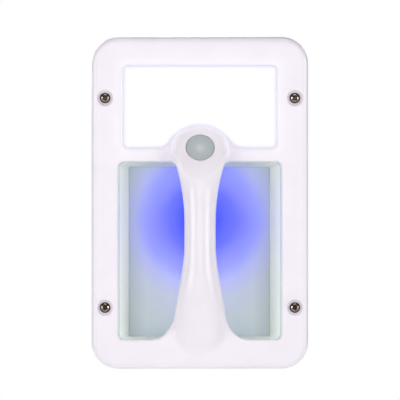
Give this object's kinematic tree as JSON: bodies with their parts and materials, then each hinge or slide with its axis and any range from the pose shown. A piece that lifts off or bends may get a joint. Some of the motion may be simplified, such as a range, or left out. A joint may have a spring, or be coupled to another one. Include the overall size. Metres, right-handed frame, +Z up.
{
  "type": "illuminated recessed grab handle",
  "caption": "White wall-fixed housing with a lit diffuser panel above a deep blue-lit pocket, bridged by a waisted bar grip with a thumb button in its head.",
  "frame": {"origin": "centre of the gasket's wall face, on the centre of the four fixing screws", "axes": "+X to the right as seen from the front, +Z up, the face looks along -Y and +Y goes into the wall"},
  "size_m": [0.154, 0.069, 0.236],
  "materials": {
    "housing_white": "glossy moulded ABS",
    "tub_white": "satin moulded ABS",
    "lens_opal": "opal acrylic, lit from behind",
    "seal_rubber": "soft silicone",
    "tray_white": "matte moulded polycarbonate",
    "board_white": "white solder mask",
    "led_white": "phosphor filled",
    "cover_grey": "matte moulded ABS",
    "board_green": "green solder mask",
    "coil_copper": "enamelled copper wire",
    "capacitor_can": "satin can",
    "chip_black": "moulded epoxy",
    "terminal_green": "moulded polyamide",
    "button_grey": "satin moulded, slightly see-through",
    "led_blue": "clear epoxy",
    "lens_clear": "clear polycarbonate",
    "foam_grey": "closed-cell foam",
    "screw_steel": "bright nickel plate",
    "inner_screw_steel": "zinc plate",
    "gland_black": "moulded polyamide",
    "wire_red": "PVC sleeve",
    "wire_yellow": "PVC sleeve",
    "wire_blue": "PVC sleeve"
  },
  "bodies": {
    "housing": {"front_housing": "housing_white", "grip_back_cover": "housing_white", "pocket_tub": "tub_white", "light_panel_lens": "lens_opal", "lens_gasket": "seal_rubber", "light_box": "tray_white", "panel_led_board": "board_white", "white_leds": "led_white", "rear_gasket": "seal_rubber", "rear_cover": "cover_grey", "driver_board": "board_green", "driver_coil": "coil_copper", "driver_capacitors": "capacitor_can", "driver_chip": "chip_black", "terminal_block": "terminal_green", "button_seal": "seal_rubber", "button_carrier": "tray_white", "button_board": "board_green", "button_switch": "chip_black", "blue_led_board": "board_green", "blue_leds": "led_blue", "blue_led_lens": "lens_clear", "wall_gasket": "foam_grey", "fixing_screws": "screw_steel", "grip_cover_screws": "inner_screw_steel", "tub_screws": "inner_screw_steel", "light_box_screws": "inner_screw_steel", "rear_cover_screws": "inner_screw_steel", "board_screws": "inner_screw_steel", "cable_gland": "gland_black", "gland_locknut": "gland_black", "gland_nut": "gland_black", "panel_wires": "wire_red", "button_wires": "wire_yellow", "grip_wires": "wire_blue"},
    "button": {"button_cap": "button_grey", "switch_plunger": "chip_black"}
  },
  "joints": [
    {"name": "button_press", "type": "slide", "parent": "housing", "child": "button", "axis": [0, 0.8988, -0.4384], "range_m": [0, 0.001], "stiffness_N_per_m": 2000, "springref_m": -0.0005}
  ]
}
